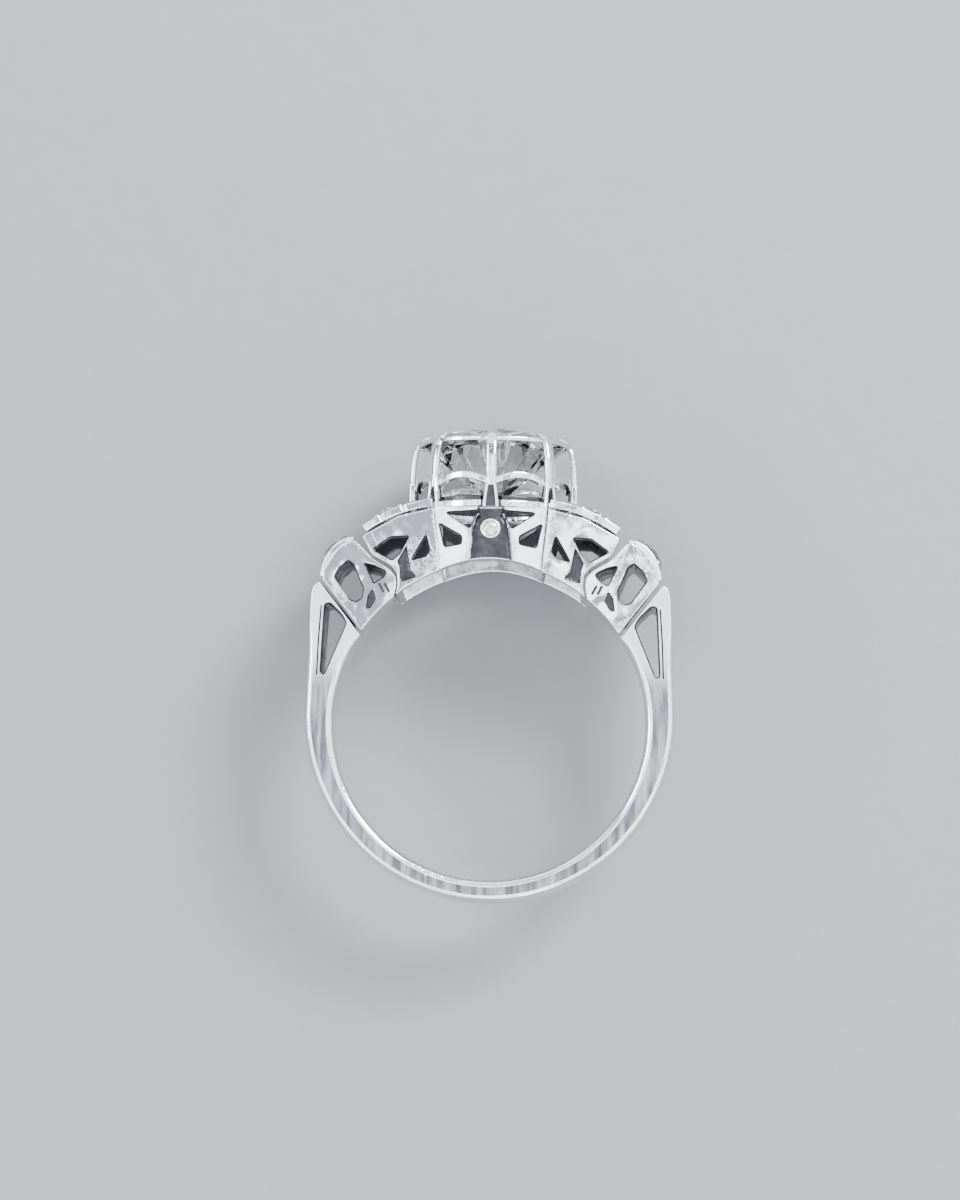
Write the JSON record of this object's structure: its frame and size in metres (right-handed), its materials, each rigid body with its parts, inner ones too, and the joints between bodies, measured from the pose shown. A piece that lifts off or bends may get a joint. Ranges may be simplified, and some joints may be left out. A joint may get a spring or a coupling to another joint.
{
  "type": "engagement ring",
  "caption": "Finger ring with a round stone in a tall claw head, a pierced gallery and stepped, stone-set shoulders on a tapering band.",
  "frame": {"origin": "centre of the finger hole", "axes": "+Y along the finger, +Z from the finger hole up through the centre stone, +X across the shoulders"},
  "size_m": [0.02, 0.0092, 0.0256],
  "materials": {
    "band_metal": "polished white gold with fine hairline scratches",
    "setting_metal": "bright polished white gold",
    "diamond": "faceted and polished"
  },
  "bodies": {
    "root": {"accent_stone_left_back": "diamond", "accent_stone_left_front": "diamond", "accent_stone_right_back": "diamond", "accent_stone_right_front": "diamond", "base_rail": "setting_metal", "bezel_back": "setting_metal", "bezel_front": "setting_metal", "bezel_stone_back": "diamond", "bezel_stone_front": "diamond", "box_grains_left": "setting_metal", "box_grains_right": "setting_metal", "box_plate_left": "setting_metal", "box_plate_right": "setting_metal", "center_stone": "diamond", "claw_1": "setting_metal", "claw_2": "setting_metal", "claw_3": "setting_metal", "claw_4": "setting_metal", "claw_5": "setting_metal", "claw_6": "setting_metal", "claw_7": "setting_metal", "claw_8": "setting_metal", "corner_stone_left_back": "diamond", "corner_stone_left_front": "diamond", "corner_stone_right_back": "diamond", "corner_stone_right_front": "diamond", "frame_grains_left": "setting_metal", "frame_grains_right": "setting_metal", "frame_stone_left_back": "diamond", "frame_stone_left_front": "diamond", "frame_stone_right_back": "diamond", "frame_stone_right_front": "diamond", "gallery_plate_back": "setting_metal", "gallery_plate_front": "setting_metal", "girdle_rail": "setting_metal", "scalloped_rail": "setting_metal", "shank": "band_metal", "side_box_left": "setting_metal", "side_box_right": "setting_metal", "side_stone_left": "diamond", "side_stone_right": "diamond", "step_frame_left": "setting_metal", "step_frame_right": "setting_metal"}
  },
  "joints": []
}
